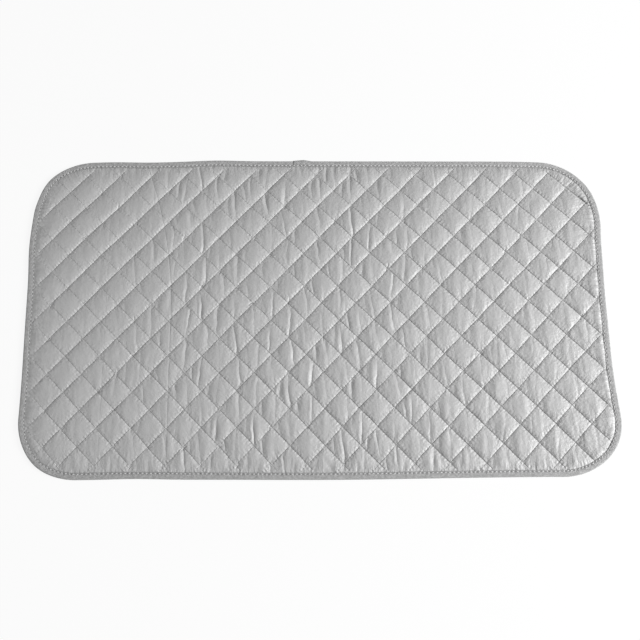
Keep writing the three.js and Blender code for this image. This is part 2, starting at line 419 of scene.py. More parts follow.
# By place: how flat the domes are on top, how deep the creases are, how far the tape holds down.
DOME_FLATNESS = (2.15, -0.25, 0)
CREASE_DEPTH = (1.32 * mm, 0.168 * mm, -0.168 * mm)
TAPE_HOLD = (7 * mm, -3.5 * mm, 0)


def puff_height(points, rising_number, falling_number):
    """Height of the cover over its tightest seams, without folds: domes with a crease along each seam."""
    x, y = points.T / half_size[0]
    numbers = rising_number, falling_number
    cell = np.floor(rising_number), np.floor(falling_number)
    dome = of_cell(DOME_LOFT, *cell)
    crease = np.ones(len(points))
    upright = 1 - FAR_DOMES_LEAN * ease((y - FAR_LEAN_START) / FAR_LEAN_RUN), 1
    for k, (seams, pull) in enumerate(zip((rising, falling), seam_pulls(points))):
        share = numbers[k] - cell[k]
        skewed = share ** (of_cell(DOME_SKEWS[k], *cell) * upright[k])
        dome = dome * (1 - pull * np.abs(2 * skewed - 1) ** by_place(DOME_FLATNESS, x, y))
        to_seam = np.minimum(share, 1 - share) * seams["pitch"]
        crease = crease * (1 - np.sqrt(pull) * np.exp(-to_seam / CREASE_RUN))
    held_by_tape = 1 - np.exp(-np.maximum(tape_distance(points), 0) / by_place(TAPE_HOLD, x, y))
    return (DOME_HEIGHT * dome + by_place(CREASE_DEPTH, x, y) * crease) * held_by_tape


def pleat_profile(across, near_run, far_run):
    """Depth from 0 to 1 beside a sharp valley, with the runs of its left and its right side."""
    return np.exp(np.minimum(across, 0) / near_run - np.maximum(across, 0) / far_run)


PLEAT_NEAR_RUN = 2 * mm
PLEAT_FAR_RUN = 2 * mm
PLEAT_END = 3 * mm
PLEAT_FADE_RUN = 16 * mm
PLEAT_MOST = 1.2
PLEAT_WANDER = 1.3 * mm
PLEAT_WANDER_LENGTH = 10 * mm
PLEAT_LAYER = 71.5
# Two pleats in each diamond: middle and spread of the shift along X, least and most depth, in mm.
PLEAT_ROWS = ((3, 6, 0.3, 1.65), (-11.5, 4, 0.2, 1.6))
PLEATS = [
    {
        "shift": per_diamond(middle - spread, middle + spread) * mm,
        "lean": per_diamond(-0.18, 0.12),
        "curve": per_diamond(-4, 4),
        "depth": per_diamond(shallow, deep) ** 2 / deep * mm,
        "width": per_diamond(0.8, 1.7),
        "fade": per_diamond(-1, 1),
    }
    for middle, spread, shallow, deep in PLEAT_ROWS
]
PLEATS_START = -0.87
PLEATS_RUN = 0.6
RIGHT_LESS = 0.7
RIGHT_LESS_START = 0.05
RIGHT_LESS_RUN = 0.5


def pleat_share(points):
    """How strongly the cover pleats, by place: most in the middle of the pad, less to its sides."""
    x = points[:, 0] / half_size[0]
    right_less = RIGHT_LESS * ease((x - RIGHT_LESS_START) / RIGHT_LESS_RUN)
    return ease((x - PLEATS_START) / PLEATS_RUN) * (1 - right_less)


def pleat_across(points, cell, pleat):
    """Signed distance to the right of a diamond's pleat, over the pleat's width. It runs about along Y."""
    off_x, off_y = (points - of_cell(DIAMOND_MIDDLES, *cell)).T
    bend = of_cell(pleat["lean"], *cell) * off_y + of_cell(pleat["curve"], *cell) * off_y**2
    bend = bend + PLEAT_WANDER * wander(points, PLEAT_WANDER_LENGTH, PLEAT_WANDER_LENGTH, PLEAT_LAYER)
    return (off_x - of_cell(pleat["shift"], *cell) - bend) / of_cell(pleat["width"], *cell)


def pleat_depth(points, cell, pleat):
    """Depth of a diamond's pleat, which fades towards its upper or its lower end."""
    off_y = (points - of_cell(DIAMOND_MIDDLES, *cell))[:, 1]
    left = np.clip(1 - of_cell(pleat["fade"], *cell) * off_y / PLEAT_FADE_RUN, 0, PLEAT_MOST)
    return of_cell(pleat["depth"], *cell) * left * pleat_share(points)


TUCK_SHARE = np.clip(per_diamond(-0.5, 1.2), TINY, 1)
TUCK_LEAN = per_diamond(-0.9, 0.4)
TUCK_SHIFTS = per_diamond(-2.5, 3.5) * mm, per_diamond(-2.5, 2.5) * mm
TUCK_LENGTH = 5.5 * mm
TUCK_BEND = 1.4 * mm
TUCK_NARROWER = 1.4


def tuck_places(points, crossing):
    """Small bent folds caught near some crossings: distance across each, and how far it has faded."""
    off_x, off_y = (points - of_cell(CROSSINGS, *crossing)).T
    off_x = off_x - of_cell(TUCK_SHIFTS[0], *crossing)
    off_y = off_y - of_cell(TUCK_SHIFTS[1], *crossing)
    lean = of_cell(TUCK_LEAN, *crossing)
    along = (off_y * np.cos(lean) - off_x * np.sin(lean)) / TUCK_LENGTH
    across = off_x * np.cos(lean) + off_y * np.sin(lean) - TUCK_BEND * np.sin(2 * along)
    fade = np.sqrt(along**2 - np.log(of_cell(TUCK_SHARE, *crossing)))
    return np.column_stack([across * TUCK_NARROWER, fade])


def fold_depth(points, middle, length, depth, lean):
    """A sharp valley that runs about along Y and tapers out at both ends."""
    fold = np.zeros(len(points))
    near = np.flatnonzero(np.abs(points - middle).max(axis=1) < length)
    off_x, off_y = (points[near] - middle).T
    taper = np.clip(1 - (2 * off_y / length) ** 2, 0, 1)
    fold[near] = depth * taper * pleat_profile(off_x - lean * off_y, PLEAT_NEAR_RUN, PLEAT_FAR_RUN)
    return fold


LOOSE_FOLDS = 110
GATHERS = 56
GATHER_SPAN = 750 * mm
GATHER_MIDDLE_Y = -226 * mm
GATHER_JITTER = (0.1, 0.9)
# Ranges of length and depth in mm, mean and spread of the lean.
LOOSE_FOLD = {"length": (15, 45), "depth": (0.2, 0.7), "lean": (-0.05, 0.1)}
GATHER_FOLD = {"length": (25, 50), "depth": (0.5, 1.4), "lean": (0, 0.15)}


def fold_depths(points):
    """Loose folds, and gathers at the near tape."""
    folds = np.zeros(len(points))

    def add_fold(middle, kind):
        length = chance.uniform(*kind["length"]) * mm
        depth = chance.uniform(*kind["depth"]) * mm
        lean = chance.normal(*kind["lean"])
        np.maximum(folds, fold_depth(points, middle, length, depth, lean), out=folds)

    for _ in range(LOOSE_FOLDS):
        add_fold(chance.uniform(-half_size, half_size), LOOSE_FOLD)
    for number in range(GATHERS):
        share = (number + chance.uniform(*GATHER_JITTER)) / GATHERS
        add_fold(np.array([GATHER_SPAN * (share - 0.5), GATHER_MIDDLE_Y]), GATHER_FOLD)
    return folds


def edge_way(points):
    """How far along the pad's edge each point lies, counted from the middles of the short sides."""
    straight = half_size - CORNER_RADIUS
    size = np.abs(points)
    beyond = np.maximum(size - straight, 0)
    along = np.minimum(size, straight)
    turned = CORNER_RADIUS * np.arctan2(beyond[:, 1], beyond[:, 0])
    return (along[:, 1] + turned + straight[0] - along[:, 0]) * np.sign(points[:, 1])


GATHER_HEIGHT = 1.3 * mm
GATHER_WIDTH = 6 * mm
GATHER_LENGTH = 40 * mm
GATHER_LAYER = 41.5
GATHER_REACH = 15 * mm
GATHER_FREE_RUN = 2.5 * mm
GATHER_SHARE = 0.25
# How much more the cover gathers along the right and the near side, and where that starts and runs.
MORE_GATHERS = ((0.6, 0.6, 0.3), (0.3, 0.35, 0.15))


def gather_height(points):
    """Short folds square to the tape, most along the right side and the near side."""
    inside = np.maximum(tape_distance(points), 0)
    x, y = points.T / half_size[0]
    share = np.full(len(points), GATHER_SHARE)
    for towards, (more, start, run) in zip((x, -y), MORE_GATHERS):
        share += more * ease((towards - start) / run)
    along_tape = np.column_stack([edge_way(points), inside])
    folds = np.abs(wander(along_tape, GATHER_WIDTH, GATHER_LENGTH, GATHER_LAYER))
    return GATHER_HEIGHT * share * np.exp(-inside / GATHER_REACH) * ease(inside / GATHER_FREE_RUN) * folds


WRINKLE_HEIGHT = 0.6 * mm
WRINKLE_SHARE = (0.85, 0.6, -0.4)
WRINKLE_WIDTH = 11 * mm
WRINKLE_LENGTH = 40 * mm
WRINKLE_LAYER = 81.5
WRINKLE_PATCH = 45 * mm
WRINKLE_PATCH_LAYER = 91.5
KNOT_HEIGHT = 1.1 * mm
KNOT_REACH = 2 * mm
KNOT_SHARE = np.clip(per_diamond(-0.3, 1), 0, 1)


def wrinkle_height(points):
    """Slack wrinkles that run about along Y, most on the right and along the lower side."""
    share = by_place(WRINKLE_SHARE, *points.T / half_size[0])
    patches = 1 + wander(points, WRINKLE_PATCH, WRINKLE_PATCH, WRINKLE_PATCH_LAYER)
    wrinkles = np.abs(wander(points, WRINKLE_WIDTH, WRINKLE_LENGTH, WRINKLE_LAYER))
    return WRINKLE_HEIGHT * share * patches * wrinkles


def knot_height(points, rising_number, falling_number):
    """The cover stands up a little at a crossing, between the last stitches before it."""
    crossing = np.round(rising_number), np.round(falling_number)
    away = np.linalg.norm(points - of_cell(CROSSINGS, *crossing), axis=1)
    return KNOT_HEIGHT * of_cell(KNOT_SHARE, *crossing) * np.exp(-((away / KNOT_REACH) ** 2))


EVEN_STEPS = 15
CREASE_ROW = 0.6 * mm
even = np.arange(EVEN_STEPS) / EVEN_STEPS
row_share = CREASE_ROW / rising["pitch"]
points, rising_number, falling_number, faces = quilted_grid(np.sort([*even, row_share, 1 - row_share]))
corners = faces.ravel()
at_corners = points[corners]
corner_numbers = np.column_stack([rising_number, falling_number])[corners]
face_middles = corner_numbers.reshape(-1, 4, 2).mean(axis=1)
cell = np.floor(face_middles).repeat(4, axis=0).T
crossing = np.round(face_middles).repeat(4, axis=0).T
pleat_acrosses = [pleat_across(at_corners, cell, pleat) for pleat in PLEATS]
pleat_depths = [pleat_depth(at_corners, cell, pleat) for pleat in PLEATS]

MESH_NEAR_RUN = 3.4 * mm
MESH_FAR_RUN = 3 * mm
MESH_PLEAT_SHARE = 0.65
SEAM_FOLD_SHARE = 0.25
TAPE_FREE_RUN = 6 * mm
DEEPEST_FOLD_SHARE = 0.6
folded = fold_depths(points)
for across, depth in zip(pleat_acrosses, pleat_depths):
    folded[corners] += MESH_PLEAT_SHARE * depth * pleat_profile(across, MESH_NEAR_RUN, MESH_FAR_RUN)
off_seam = ease(seam_distance(rising_number, falling_number) / PLEAT_END)
folded *= SEAM_FOLD_SHARE + (1 - SEAM_FOLD_SHARE) * off_seam
puffed = puff_height(points, rising_number, falling_number)
free = ease(tape_distance(points) / TAPE_FREE_RUN)
folded = free * np.minimum(folded, DEEPEST_FOLD_SHARE * puffed)
slack = off_seam * wrinkle_height(points) + knot_height(points, rising_number, falling_number)
height = valley_height(points) + puffed + gather_height(points) + free * slack - folded

# Colours and sheen of the coating, and the dark grey of its painted shade.
COVER_GREYS = grey(0.44), grey(0.485)
SHADE_GREY = grey(0.08)
COVER_ROUGHNESS = 0.47
COATING_METALLIC = 0.12
MOTTLE_SIZE = 12 * mm
MOTTLE_ROUGHNESS = 0.1
COVER_THREAD = 0.45 * mm
COVER_WEAVE_BUMP = 0.02 * mm
# Fine relief that the mesh is too coarse for.
STITCHES_PER_DIAMOND = 7.5
PUCKER = 0.4 * mm
PUCKER_REACH = 3 * mm
PUCKER_DRIFT = 7
PATCH_SIZE = 26 * mm
PATCH_STRETCH = (1, 1.5, 1)
CRUMPLE = 1.6 * mm
CRUMPLE_SIZE = 4 * mm
CRUMPLE_ROUGHNESS = 0.06
CRUMPLE_LEAST = 0.3
CRUMPLE_CHANGE = 0.1
SEAM_CRUMPLE = 0.75
SEAM_CRUMPLE_REACH = 6 * mm
BAND = 1.5 * mm
BAND_SHARE = (1.1, 0.5, -0.8)
BAND_SIZE = 10 * mm
LONG_STRETCH = (1, 4, 1)
RIDGE_SHARE = 0.28
RIDGE_OFFSET = 3.4 * mm
RIDGE_REACH = 1.8 * mm
TUCK = 1.2 * mm
GATHER = 3 * mm
GATHER_LEAST = 0.6
# Painted shade: the colour darkens in the gathers and along the tape's inner edge, where shade falls.
GATHER_SHADE = 0.28
GATHER_SHADE_BELOW = 0.54
GATHER_SHADE_CONTRAST = 5
TAPE_SHADE = 0.25
TAPE_SHADE_REACH = 0.9 * mm
# Long creases from packing: x, bow of the far half per metre, depth.
PACKING_CREASES = ((-213 * mm, 0.8, 0.45 * mm), (-306 * mm, 0, 0.2 * mm))
PACKING_NARROWER = 1.4
# Painted shade along the tuck where the cover slips under the tape at the far right corner.
CORNER_TUCK = (399 * mm, 175 * mm)
CORNER_TUCK_LEAN = -0.78
CORNER_TUCK_WIDTH = 1.5 * mm
CORNER_TUCK_REACH = 7 * mm
CORNER_TUCK_SHADE = 0.95


def map_parts(place, name):
    """The two values of one of the piece's UV maps."""
    return x_and_y(place.node("ShaderNodeUVMap", {}, uv_map=name))


def faded(distance, run):
    """1 at distance 0, fading away over the run."""
    return distance.math("EXPONENT", distance * (-1 / run))


def valley(across):
    """The sharp valley of a pleat, narrower than in the mesh."""
    left = across.math("MINIMUM", across, 0.0) * (1 / PLEAT_NEAR_RUN)
    right = across.math("MAXIMUM", across, 0.0) * (1 / PLEAT_FAR_RUN)
    return across.math("EXPONENT", left - right)


def near_line(value, middle, reach):
    """1 where a value equals the middle, fading away within the reach."""
    away = (value - middle) * (1 / reach)
    return value.math("EXPONENT", -1 * away * away)


def pleat_relief(across):
    """A pleat's valley with the rounded ridge on its left."""
    return valley(across) - RIDGE_SHARE * near_line(across, -RIDGE_OFFSET, RIDGE_REACH)


coated_cotton, place = new_material("coated_cotton", "Object")
x, y = (part * (1 / half_size[0]) for part in x_and_y(place))
mottle = cloth_noise(place, MOTTLE_SIZE, detail=3)
crumple = cloth_noise(place, CRUMPLE_SIZE, detail=4)
patches = cloth_noise(place, PATCH_SIZE, PATCH_STRETCH, detail=1)
seam_numbers = map_parts(place, "seam_numbers")
to_rising, to_falling = (
    place.math("PINGPONG", number, 0.5) * seams["pitch"]
    for number, seams in zip(seam_numbers, (rising, falling))
)
nearest = place.math("MINIMUM", to_rising, to_falling)
quilt_turn = 2 * math.pi * STITCHES_PER_DIAMOND
along_falling, along_rising = (
    place.math("COSINE", number * quilt_turn + mottle * PUCKER_DRIFT) for number in seam_numbers
)
falling_pull = place.node("ShaderNodeClamp", {"Value": by_place(FALLING_PULL, x, y)})
puckers = along_rising * faded(to_rising, PUCKER_REACH)
puckers = puckers + along_falling * faded(to_falling, PUCKER_REACH) * falling_pull
acrosses = map_parts(place, "pleat_acrosses")
depths = map_parts(place, "pleat_depths")
first_pleat, second_pleat = (pleat_relief(across) * depth for across, depth in zip(acrosses, depths))
pleats = (first_pleat + second_pleat) * place.math("MINIMUM", nearest * (1 / PLEAT_END), 1.0)
tuck_across, tuck_fade = map_parts(place, "tucks")
tucks = valley(tuck_across) * place.math("EXPONENT", -1 * tuck_fade * tuck_fade)
sewn = puckers * patches * PUCKER + pleats * (1 - MESH_PLEAT_SHARE / 2) + tucks * TUCK
tape_frame = place.node("ShaderNodeUVMap", {}, uv_map="tape_frame")
to_tape = x_and_y(tape_frame)[1]
at_tape = faded(to_tape, GATHER_REACH) * place.math("MAXIMUM", x, GATHER_LEAST)
gathers = cloth_noise(tape_frame, GATHER_WIDTH, LONG_STRETCH)
gather_painted_shade = (GATHER_SHADE_BELOW - gathers) * GATHER_SHADE_CONTRAST
gather_painted_shade = place.node("ShaderNodeClamp", {"Value": gather_painted_shade}) * at_tape
waves = cloth_noise(place, BAND_SIZE, LONG_STRETCH, detail=0)
bands = place.math("ABSOLUTE", waves - 0.5) * by_place(BAND_SHARE, x, y) * patches
crumple_share = CRUMPLE_LEAST + CRUMPLE_CHANGE * x + SEAM_CRUMPLE * faded(nearest, SEAM_CRUMPLE_REACH)
relief = crumple * crumple_share * CRUMPLE + gathers * at_tape * GATHER + bands * BAND - sewn
far_half = place.math("MAXIMUM", y * half_size[0], 0.0)
for crease_x, bow, depth in PACKING_CREASES:
    across = x * half_size[0] - crease_x + far_half * far_half * bow
    relief = relief - valley(across * PACKING_NARROWER) * depth
corner_x = x * half_size[0] - CORNER_TUCK[0]
corner_y = y * half_size[0] - CORNER_TUCK[1]
off_tuck = corner_x * math.sin(CORNER_TUCK_LEAN) - corner_y * math.cos(CORNER_TUCK_LEAN)
tuck_painted_shade = near_line(off_tuck, 0, CORNER_TUCK_WIDTH) * near_line(corner_x, 0, CORNER_TUCK_REACH)
tape_edge_painted_shade = near_line(to_tape, 0, TAPE_SHADE_REACH)
# Painted shade: the colour turns dark grey along the tape, in the corner tuck and in the gathers.
shade = place.math("MAXIMUM", tape_edge_painted_shade * TAPE_SHADE, tuck_painted_shade * CORNER_TUCK_SHADE)
shade = place.math("MAXIMUM", shade, gather_painted_shade * GATHER_SHADE)
weave = bumped(plain_weave(place, COVER_THREAD), COVER_WEAVE_BUMP)
close_material(
    place,
    mixed(shade, mixed(mottle, *COVER_GREYS), SHADE_GREY),
    COVER_ROUGHNESS + mottle * MOTTLE_ROUGHNESS + crumple * CRUMPLE_ROUGHNESS,
    bumped(relief, below=weave),
    Metallic=COATING_METALLIC,
)
cover = make_piece("quilted_cover", np.column_stack([points, height]), faces, coated_cotton)


def mark_creases(mesh, numbers):
    """Breaks the shading along the rows beside each seam, where the cloth dives under the thread."""
    ends = np.empty(2 * len(mesh.edges), int)
    mesh.edges.foreach_get("vertices", ends)
    first, second = ends.reshape(-1, 2).T
    sharp = np.zeros(len(first), bool)
    for number in numbers:
        on_row = np.isclose(np.abs(number - np.round(number)), row_share)
        sharp |= on_row[first] & np.isclose(number[first], number[second])
    mesh.edges.foreach_set("use_edge_sharp", sharp)


mark_creases(cover.data, (rising_number, falling_number))
maps = {
    "seam_numbers": corner_numbers,
    "pleat_acrosses": np.column_stack(pleat_acrosses),
    "pleat_depths": np.column_stack(pleat_depths),
    "tucks": tuck_places(at_corners, crossing),
    "tape_frame": np.column_stack([edge_way(at_corners), tape_distance(at_corners)]),
}
for name, values in maps.items():
    cover.data.uv_layers.new(name=name).data.foreach_set("uv", values.ravel())
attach(cover, "root")
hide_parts("top_cover")

# Wadding
# A layer of off-white fibre between the cover and the backing. It fills the diamonds, and the
# seams and the tape press it thin.
FLUFF_SIZE = 1.5 * mm
FLUFF_STRETCH = (1, 3, 1)
FLUFF_BUMP = 0.4 * mm
FLUFF_ROUGHNESS = 0.1
FIBRE_COLOURS = (0.8, 0.79, 0.76, 1), (0.88, 0.87, 0.84, 1)
FIBRE_ROUGHNESS = 0.9
fibre, place = new_material("fibre", "Object")
fluff = cloth_noise(place, FLUFF_SIZE, FLUFF_STRETCH, detail=4)
close_material(
    place,
    mixed(fluff, *FIBRE_COLOURS),
    FIBRE_ROUGHNESS + fluff * FLUFF_ROUGHNESS,
    bumped(fluff, FLUFF_BUMP),
)

WADDING_STEPS = 6
UNDER_COVER = 0.4 * mm
UNDER_PUFF = 0.38
WADDING_RIM_RUN = 18 * mm
OVER_BACKING = 0.2 * mm


def border_sides(faces):
    """Sides of the mesh that only one face has, in that face's direction."""
    sides = np.concatenate([faces[:, [k, (k + 1) % 4]] for k in range(4)])
    twins = {(end, start) for start, end in sides.tolist()}
    return [side for side in sides.tolist() if tuple(side) not in twins]


points, rising_number, falling_number, faces = quilted_grid(np.arange(WADDING_STEPS) / WADDING_STEPS)
room = UNDER_PUFF * ease(tape_distance(points) / WADDING_RIM_RUN)
top = valley_height(points) - UNDER_COVER + room * puff_height(points, rising_number, falling_number)
bottom = backing_height(points, rising_number, falling_number) + BACKING_CLOTH + OVER_BACKING
count = len(points)
walls = [(end, start, start + count, end + count) for start, end in border_sides(faces)]
wadding = make_piece(
    "fibre_wadding",
    np.concatenate([np.column_stack([points, top]), np.column_stack([points, bottom])]),
    [*faces.tolist(), *(faces[:, ::-1] + count).tolist(), *walls],
    fibre,
)
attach(wadding, "root")
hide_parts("wadding")

# Quilting seams
# Rows of lockstitch in grey thread, sewn through the three layers: the needle thread lies in the
# valleys of the cover, the bobbin thread in the grooves of the backing.
TWIST_SIZE = 0.6 * mm
TWIST_BUMP = 0.05 * mm
TWIST_ROUGHNESS = 0.2


def thread_material(name, greys, roughness):
    """Twisted thread that varies between two greys."""
    thread, place = new_material(name, "Object")
    twist = cloth_noise(place, TWIST_SIZE)
    colour = mixed(twist, *(grey(value) for value in greys))
    close_material(place, colour, roughness + twist * TWIST_ROUGHNESS, bumped(twist, TWIST_BUMP))
    return thread


# The thread is a darker grey than the cover: partly its own tone, partly painted shade for the seam
# valleys.
QUILT_THREAD_GREYS = (0.28, 0.36)
QUILT_THREAD_ROUGHNESS = 0.55
grey_thread = thread_material("grey_thread", QUILT_THREAD_GREYS, QUILT_THREAD_ROUGHNESS)

# A stitch is a ball of diameter 1, scaled to the stitch's length and thickness.
STITCH_BALL = {"Segments": 5, "Rings": 3, "Radius": 0.5}


def stitch_tree():
    """Geometry nodes that lay a stitch on each point of the lines of a mesh."""
    tree = bpy.data.node_groups.new("stitches", "GeometryNodeTree")
    tree.interface.new_socket("Lines", in_out="INPUT", socket_type="NodeSocketGeometry")
    for name in ("Length", "Thickness"):
        tree.interface.new_socket(name, in_out="INPUT", socket_type="NodeSocketFloat")
    tree.interface.new_socket("Thread", in_out="INPUT", socket_type="NodeSocketMaterial")
    tree.interface.new_socket("Stitches", in_out="OUTPUT", socket_type="NodeSocketGeometry")
    start = Socket(tree, None)
    lines, length, thickness, thread = (
        start.node("NodeGroupInput", {}, output=name) for name in ("Lines", "Length", "Thickness", "Thread")
    )
    curves = start.node("GeometryNodeMeshToCurve", {"Mesh": lines})
    ball = start.node("GeometryNodeMeshUVSphere", STITCH_BALL)
    size = start.node("ShaderNodeCombineXYZ", {"X": length, "Y": thickness, "Z": thickness})
    tangent = start.node("GeometryNodeInputTangent", {})
    turn = start.node("FunctionNodeAlignRotationToVector", {"Vector": tangent}, axis="X")
    placed = start.node(
        "GeometryNodeInstanceOnPoints",
        {"Points": curves, "Instance": ball, "Rotation": turn, "Scale": size},
    )
    real = start.node("GeometryNodeRealizeInstances", {"Geometry": placed})
    smooth = start.node("GeometryNodeSetShadeSmooth", {"Geometry": real})
    done = start.node("GeometryNodeSetMaterial", {"Geometry": smooth, "Material": thread})
    start.node("NodeGroupOutput", {"Stitches": done})
    return tree


stitches = stitch_tree()


def sew(name, lines, inputs, closed, nodes):
    """Stitches on lines of points, as one piece in place of the CAD threads."""
    starts = np.cumsum([0] + [len(line) for line in lines])
    edges = [
        (start + k, start + k + 1)
        for start, line in zip(starts, lines)
        for k in range(len(line) - 1)
    ]
    if closed:
        edges.append((len(lines[0]) - 1, 0))
    mesh = bpy.data.meshes.new(name)
    mesh.from_pydata([tuple(point) for line in lines for point in line], edges, [])
    piece = bpy.data.objects.new(name, mesh)
    bpy.context.scene.collection.objects.link(piece)
    layer = piece.modifiers.new("stitches", "NODES")
    layer.node_group = stitches
    for socket in stitches.interface.items_tree:
        if socket.name in inputs:
            layer[socket.identifier] = inputs[socket.name]
    drawn = piece.evaluated_get(bpy.context.evaluated_depsgraph_get())
    sewn = bpy.data.meshes.new_from_object(drawn)
    piece.modifiers.remove(layer)
    piece.data = sewn
    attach(piece, "root")
    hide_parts(*nodes)
    return piece


STITCH_THICKNESS = 0.6 * mm
STITCH_SHARE = 0.88
STITCH_SUNK = 0.15
PULLED_STITCH_RISE = 0.3
SEAM_END_INSET = 11 * mm


def seam_lines(numbers, is_rising):
    """Middles of the stitches along each seam from tape to tape, on the cover and under the backing."""
    lines = []
    reach = (MOST_SEAMS // 2 - 1) * STITCHES_PER_DIAMOND
    along = (np.arange(-reach, reach) + 0.5) / STITCHES_PER_DIAMOND
    for number in numbers:
        still = np.full(len(along), float(number))
        pair = np.array([still, along] if is_rising else [along, still])
        inside = edge_depth(sewn_place(*pair))[0] > SEAM_END_INSET
        pair = pair[:, inside]
        path = sewn_place(*pair)
        pull = seam_pulls(path)[0 if is_rising else 1]
        rise = STITCH_THICKNESS * (PULLED_STITCH_RISE * pull - STITCH_SUNK)
        on_cover = valley_height(path) + puff_height(path, *pair) + rise
        under_backing = np.full(len(path), SEAM_DRAWN_UP - STITCH_THICKNESS / 2)
        lines.append(np.column_stack([path, on_cover]))
        lines.append(np.column_stack([path, under_backing]))
    return lines


for name, seams, other in (("rising", rising, falling), ("falling", falling, rising)):
    nodes = [node for node in sorted(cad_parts) if node.startswith(name + "_seam")]
    length = STITCH_SHARE * other["pitch"] / STITCHES_PER_DIAMOND
    inputs = {"Length": length, "Thickness": STITCH_THICKNESS, "Thread": grey_thread}
    sew(name + "_stitches", seam_lines(seams["numbers"], name == "rising"), inputs, False, nodes)

# Edge binding
# One woven grey tape folded over the cut edge of the three layers. Its two ends lap on the far
# side, where it stands a little proud. It ripples slightly, and more on the rounded corners.
TAPE_STATION = 1.95 * mm
STATIONS_PER_STITCH = 3
TAPE_THICKNESS = 0.5 * mm
RIM_TOP = 3.5 * mm
FOLD_RADIUS = RIM_TOP / 2
FOLD_POINTS = 11
# Rows of points on a flap, in from the edge, and how far the upper flap is drawn down there.
FLAP_INSETS = np.array([9.5, 8.9, 8.3, 7.7, 6.8, 5.4, 3.6]) * mm
FLAP_DRAWN_DOWN = np.array([0.75, 0.5, 0.4, 0.4, 0.2, 0.03, 0]) * mm
EDGE_SEAM_INSET = 7.7 * mm
EDGE_DRAWN_DOWN = 0.4 * mm
RIGHT_FLATTER = 0.9
LAP_X = -21 * mm
LAP_LEFT = 16.5 * mm
LAP_RIGHT = 13 * mm
LAP_STEP = 0.25
LAP_BULGE = 2.6 * mm
CORNER_TURN = 0.2
RIPPLE = 0.15 * mm
CORNER_RIPPLE = 0.2 * mm
RIPPLE_LENGTH = 12 * mm
RIPPLE_LAYER = 2.5
WOBBLE = 0.5 * mm
WOBBLE_LENGTH = 30 * mm
WOBBLE_LAYER = 6.5


def edge_path(station):
    """Points round the pad's edge, anticlockwise, the direction out of the pad, and the way along."""
    straight = 2 * (half_size - CORNER_RADIUS)
    corner = CORNER_RADIUS * math.pi / 2
    lengths = [straight[1], corner, straight[0], corner] * 2
    edge_length = sum(lengths)
    count = STATIONS_PER_STITCH * round(edge_length / station / STATIONS_PER_STITCH)
    places = []
    outwards = []
    ways = np.arange(count) * edge_length / count
    for way in ways:
        part = 0
        while way > lengths[part]:
            way -= lengths[part]
            part += 1
        quarter = part // 2
        turn = Matrix.Rotation(quarter * math.pi / 2, 2)
        size = half_size if quarter % 2 == 0 else half_size[::-1]
        if part % 2 == 0:
            place = Vector((size[0], way - (size[1] - CORNER_RADIUS)))
            outward = Vector((1, 0))
        else:
            angle = way / CORNER_RADIUS
            outward = Vector((math.cos(angle), math.sin(angle)))
            place = Vector(size) - Vector((CORNER_RADIUS, CORNER_RADIUS)) + CORNER_RADIUS * outward
        places.append(turn @ place)
        outwards.append(turn @ outward)
    return np.array(places), np.array(outwards), ways, edge_length


def tape_section():
    """The folded tape's section, as distance in from the edge and height, up the outer side first."""
    angles = np.linspace(-math.pi / 2, math.pi / 2, FOLD_POINTS)
    outside = [(inset, 0) for inset in FLAP_INSETS]
    outside += [(FOLD_RADIUS * (1 - math.cos(a)), FOLD_RADIUS * (1 + math.sin(a))) for a in angles]
    outside += [(inset, RIM_TOP - down) for inset, down in zip(FLAP_INSETS[::-1], FLAP_DRAWN_DOWN[::-1])]
    inner = FOLD_RADIUS - TAPE_THICKNESS
    inside = [(inset, RIM_TOP - down - TAPE_THICKNESS) for inset, down in zip(FLAP_INSETS, FLAP_DRAWN_DOWN)]
    inside += [(FOLD_RADIUS - inner * math.cos(a), FOLD_RADIUS + inner * math.sin(a)) for a in angles[::-1]]
    inside += [(inset, TAPE_THICKNESS) for inset in FLAP_INSETS[::-1]]
    low_part = np.zeros(len(FLAP_INSETS) + FOLD_POINTS)
    drawn = np.concatenate([low_part, FLAP_DRAWN_DOWN[::-1], FLAP_DRAWN_DOWN, low_part])
    return np.array(outside), np.array(inside), drawn


places, outwards, ways, edge_length = edge_path(TAPE_STATION)
outside, inside, drawn = tape_section()
section = np.concatenate([outside, inside])
on_outside = np.arange(len(section)) < len(outside)
upper = np.clip((section[:, 1] - FOLD_RADIUS) / FOLD_RADIUS, 0, 1)
from_lap = places[:, 0] - LAP_X
lap_rise = 1 - np.abs(from_lap) / np.where(from_lap < 0, LAP_LEFT, LAP_RIGHT)
lap_foot = np.where(from_lap < 0, LAP_STEP, 0)
in_lap = np.where((lap_rise > 0) & (places[:, 1] > 0), lap_foot + (1 - lap_foot) * lap_rise, 0)
lap_end_way = ways[np.flatnonzero(in_lap)[-1]]
in_corner = ease(np.abs(outwards).min(axis=1) / CORNER_TURN)
flatter = RIGHT_FLATTER * at_right_side(places)
station_way = np.column_stack([ways, np.zeros(len(ways))])
ripple = wander(station_way, RIPPLE_LENGTH, RIPPLE_LENGTH, RIPPLE_LAYER)
ripple_lift = (RIPPLE + CORNER_RIPPLE * in_corner) * (ripple + 1)
wobble = WOBBLE * wander(station_way, WOBBLE_LENGTH, WOBBLE_LENGTH, WOBBLE_LAYER)
places = places + outwards * edge_bulge(places)[:, None]
tape_points = []
for k in range(len(places)):
    inset = section[:, 0] + wobble[k] * upper * section[:, 0] / TAPE_WIDTH
    inset = inset - in_lap[k] * LAP_BULGE * np.cos((section[:, 1] / RIM_TOP - 0.5) * math.pi)
    lift = upper * (ripple_lift[k] + on_outside * in_lap[k] * TAPE_THICKNESS) + flatter[k] * drawn
    flat = places[k] - outwards[k] * inset[:, None]
    tape_points.append(np.column_stack([flat, section[:, 1] + lift]))
tape_points = np.concatenate(tape_points)
ring = len(section)
section_way = np.concatenate([[0], np.cumsum(np.linalg.norm(np.diff(section, axis=0), axis=1))])
section_way = np.append(section_way, section_way[-1] + TAPE_THICKNESS)
tape_faces = []
tape_uv = []
